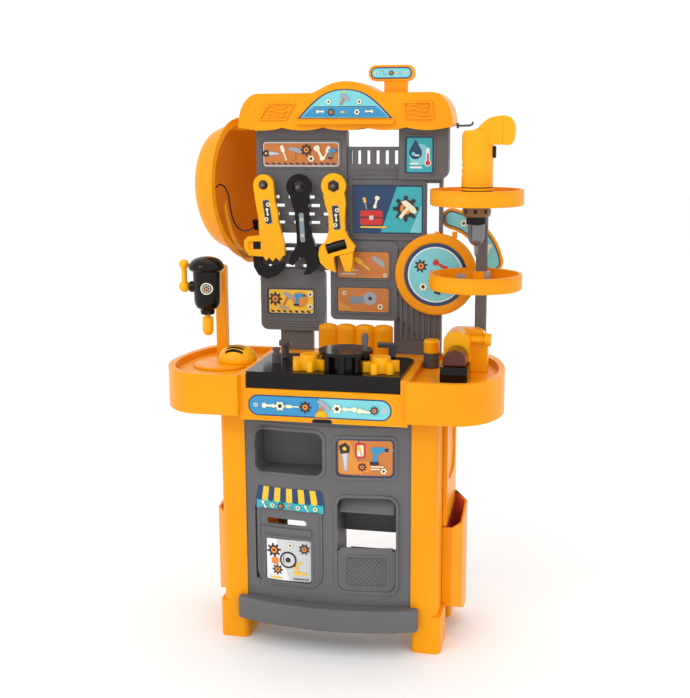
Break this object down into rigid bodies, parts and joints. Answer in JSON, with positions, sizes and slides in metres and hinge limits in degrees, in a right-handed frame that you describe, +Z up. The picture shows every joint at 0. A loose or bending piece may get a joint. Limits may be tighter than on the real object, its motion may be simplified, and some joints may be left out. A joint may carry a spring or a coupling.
{
  "type": "toy workbench",
  "caption": "Child's toy workbench: open cabinet with door and bin, table with turning gears, drill press and sander, tool board, canopy, hung tools, tray post and hard hat.",
  "frame": {"origin": "middle of the bounding box in plan, on the floor under the feet", "axes": "+Z up, +X to the right of the child who plays at it, -Y towards that child"},
  "size_m": [0.5616, 0.33, 0.921],
  "materials": {
    "yellow_plastic": "orange-yellow moulded plastic with a soft gloss",
    "lemon_plastic": "brighter yellow glossy plastic",
    "grey_plastic": "mid grey moulded plastic, satin",
    "black_plastic": "black glossy plastic",
    "dark_grey_plastic": "metal-grey plastic",
    "brown_plastic": "dark red-brown glossy plastic",
    "silver_plastic": "silver-coloured plastic"
  },
  "bodies": {
    "bench": {"right_side_panel": "yellow_plastic", "left_side_panel": "yellow_plastic", "right_side_pocket": "yellow_plastic", "left_side_pocket": "yellow_plastic", "front_panel": "grey_plastic", "plinth_shelf": "grey_plastic", "cabinet_back": "grey_plastic", "door_hinge_pin": "dark_grey_plastic", "table_top": "yellow_plastic", "gear_deck": "black_plastic", "sander_housing": "lemon_plastic", "sander_belt": "brown_plastic", "sander_base": "black_plastic", "press_base": "yellow_plastic", "press_dome": "lemon_plastic", "press_column": "yellow_plastic", "press_head": "black_plastic", "left_board": "grey_plastic", "right_board": "grey_plastic", "backsplash": "yellow_plastic", "canopy": "yellow_plastic", "canopy_sign": "yellow_plastic", "right_hook": "dark_grey_plastic", "left_hook": "dark_grey_plastic", "ring_sign": "yellow_plastic", "arch_sign": "yellow_plastic", "tray_post": "grey_plastic", "upper_tray": "yellow_plastic", "lower_tray": "yellow_plastic"},
    "storage_door": {"storage_door": "grey_plastic"},
    "pull_bin": {"pull_bin": "grey_plastic"},
    "central_gear": {"central_gear": "black_plastic", "crank_knob": "dark_grey_plastic"},
    "left_gear": {"left_gear": "lemon_plastic"},
    "right_gear": {"right_gear": "lemon_plastic"},
    "short_bolt": {"short_bolt": "dark_grey_plastic"},
    "long_bolt": {"long_bolt": "dark_grey_plastic"},
    "angle_key": {"angle_key": "dark_grey_plastic"},
    "peg_screw": {"peg_screw_body": "dark_grey_plastic", "peg_screw_head": "lemon_plastic"},
    "sander_knob": {"sander_knob": "lemon_plastic"},
    "press_crank": {"press_crank": "lemon_plastic"},
    "press_plunger": {"press_plunger": "lemon_plastic"},
    "loose_nut": {"loose_nut_1": "silver_plastic"},
    "loose_screw": {"loose_screw": "silver_plastic"},
    "drill": {"drill_body": "lemon_plastic", "drill_end_cap": "lemon_plastic"},
    "drill_trigger": {"drill_trigger": "black_plastic"},
    "drill_collar": {"drill_collar": "brown_plastic"},
    "drill_chuck": {"drill_chuck": "silver_plastic"},
    "pipe_wrench": {"pipe_wrench": "lemon_plastic"},
    "pipe_wrench_jaw": {"pipe_wrench_hook_jaw": "black_plastic"},
    "open_end_wrench": {"open_end_wrench": "black_plastic"},
    "adjustable_wrench": {"adjustable_wrench": "lemon_plastic"},
    "adjustable_jaw": {"adjustable_jaw": "lemon_plastic"},
    "adjusting_knurl": {"adjusting_knurl": "black_plastic"},
    "hat": {"hard_hat": "yellow_plastic", "chin_strap": "black_plastic", "strap_slider": "black_plastic"}
  },
  "joints": [
    {"name": "door_swing", "type": "hinge", "parent": "bench", "child": "storage_door", "pos_m": [-0.1223, -0.12416, 0.165], "axis": [0, 0, -1], "range_deg": [0, 95]},
    {"name": "bin_pull", "type": "slide", "parent": "bench", "child": "pull_bin", "axis": [0, -1, 0], "range_m": [0, 0.045]},
    {"name": "central_gear_spin", "type": "hinge", "parent": "bench", "child": "central_gear", "pos_m": [0.0172, -0.10896, 0.47], "axis": [0, 0, 1], "continuous": true},
    {"name": "left_gear_spin", "type": "hinge", "parent": "bench", "child": "left_gear", "pos_m": [-0.0388, -0.11496, 0.465], "axis": [0, 0, 1], "continuous": true},
    {"name": "right_gear_spin", "type": "hinge", "parent": "bench", "child": "right_gear", "pos_m": [0.0732, -0.11496, 0.465], "axis": [0, 0, 1], "continuous": true},
    {"name": "short_bolt_lift", "type": "slide", "parent": "bench", "child": "short_bolt", "axis": [0, 0, 1], "range_m": [0, 0.03]},
    {"name": "long_bolt_lift", "type": "slide", "parent": "bench", "child": "long_bolt", "axis": [0, 0, 1], "range_m": [0, 0.03]},
    {"name": "angle_key_lift", "type": "slide", "parent": "bench", "child": "angle_key", "axis": [0, 0, 1], "range_m": [0, 0.03]},
    {"name": "peg_screw_lift", "type": "slide", "parent": "bench", "child": "peg_screw", "axis": [0, 0, 1], "range_m": [0, 0.03]},
    {"name": "sander_knob_spin", "type": "hinge", "parent": "bench", "child": "sander_knob", "pos_m": [0.2302, -0.03896, 0.497], "axis": [1, 0, 0], "continuous": true},
    {"name": "press_crank_turn", "type": "hinge", "parent": "bench", "child": "press_crank", "pos_m": [-0.2578, -0.06596, 0.573], "axis": [1, 0, 0], "range_deg": [0, 120]},
    {"name": "press_plunger_drop", "type": "slide", "parent": "bench", "child": "press_plunger", "axis": [0, 0, -1], "range_m": [0, 0.03]},
    {"name": "loose_nut_lift", "type": "slide", "parent": "bench", "child": "loose_nut", "axis": [0, 0, 1], "range_m": [0, 0.03]},
    {"name": "loose_screw_lift", "type": "slide", "parent": "bench", "child": "loose_screw", "axis": [0, 0, 1], "range_m": [0, 0.03]},
    {"name": "drill_lift", "type": "slide", "parent": "bench", "child": "drill", "axis": [0, 0, 1], "range_m": [0, 0.06]},
    {"name": "drill_trigger_press", "type": "slide", "parent": "drill", "child": "drill_trigger", "axis": [-1, 0, 0], "range_m": [0, 0.004], "stiffness_N_per_m": 400},
    {"name": "drill_collar_turn", "type": "hinge", "parent": "drill", "child": "drill_collar", "pos_m": [0.2092, -0.04296, 0.705], "axis": [0, 0, 1], "range_deg": [-45, 45]},
    {"name": "drill_chuck_spin", "type": "hinge", "parent": "drill", "child": "drill_chuck", "pos_m": [0.2092, -0.04296, 0.665], "axis": [0, 0, 1], "continuous": true},
    {"name": "pipe_wrench_unhook", "type": "slide", "parent": "bench", "child": "pipe_wrench", "axis": [0, -1, 0], "range_m": [0, 0.03]},
    {"name": "pipe_wrench_jaw_slide", "type": "slide", "parent": "pipe_wrench", "child": "pipe_wrench_jaw", "axis": [0, 0, -1], "range_m": [-0.001, 0.006]},
    {"name": "open_wrench_unhook", "type": "slide", "parent": "bench", "child": "open_end_wrench", "axis": [0, -1, 0], "range_m": [0, 0.03]},
    {"name": "adjustable_wrench_unhook", "type": "slide", "parent": "bench", "child": "adjustable_wrench", "axis": [0, -1, 0], "range_m": [0, 0.03]},
    {"name": "knurl_turn", "type": "hinge", "parent": "adjustable_wrench", "child": "adjusting_knurl", "pos_m": [-0.0248, 0.02154, 0.633], "axis": [0.9563, 0, 0.2924], "range_deg": [-360, 360]},
    {"name": "adjustable_jaw_slide", "type": "slide", "parent": "adjustable_wrench", "child": "adjustable_jaw", "axis": [0.965, 0, 0.2622], "range_m": [-0.00503, 0.00503]},
    {"name": "hat_unhook", "type": "slide", "parent": "bench", "child": "hat", "axis": [-1, 0, 0], "range_m": [0, 0.008]}
  ],
  "couplings": [
    {"joint": "left_gear_spin", "follows": "central_gear_spin", "ratio": -1.3333},
    {"joint": "right_gear_spin", "follows": "central_gear_spin", "ratio": -1.3333},
    {"joint": "press_plunger_drop", "follows": "press_crank_turn", "m_per_rad": 0.0143},
    {"joint": "adjustable_jaw_slide", "follows": "knurl_turn", "m_per_rad": 0.0008}
  ]
}
